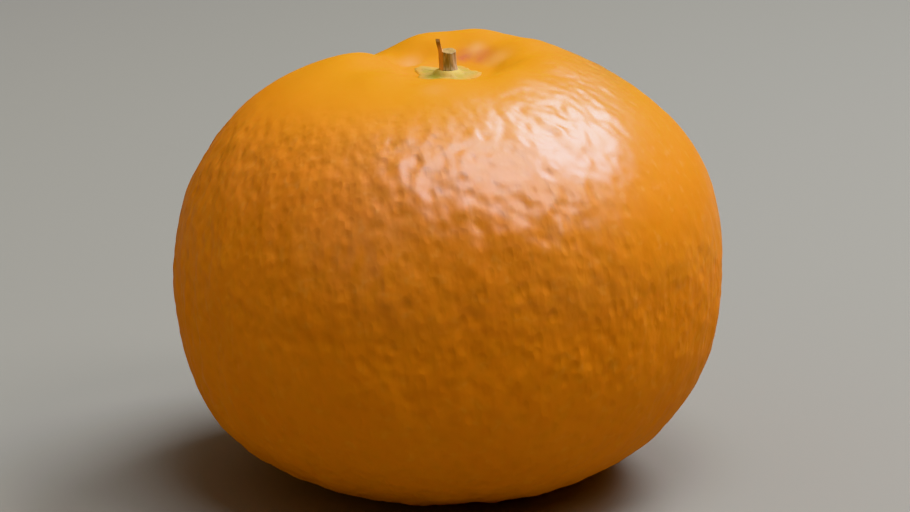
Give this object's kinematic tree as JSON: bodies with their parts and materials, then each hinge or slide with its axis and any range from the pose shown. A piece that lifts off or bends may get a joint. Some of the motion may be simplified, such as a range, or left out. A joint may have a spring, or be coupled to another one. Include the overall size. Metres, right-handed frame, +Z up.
{
  "type": "mandarin",
  "caption": "Whole ripe mandarin with pitted orange peel, green calyx and a short cut stalk, standing on its blossom end.",
  "frame": {"origin": "middle of the fruit's footprint, on the surface it stands on", "axes": "+Z up from the blossom end to the stalk, -Y towards the viewer of the picture, +X to the viewer's right"},
  "size_m": [0.0676, 0.0676, 0.0555],
  "materials": {
    "peel": "waxy orange citrus peel, pitted, with a soft broken sheen",
    "calyx": "dry yellow-green calyx, matt, brown at its rim",
    "stalk": "olive-brown bark, matt and ridged, with a paler cut end"
  },
  "bodies": {
    "root": {"fruit": "peel", "calyx": "calyx", "stalk": "stalk"}
  },
  "joints": []
}
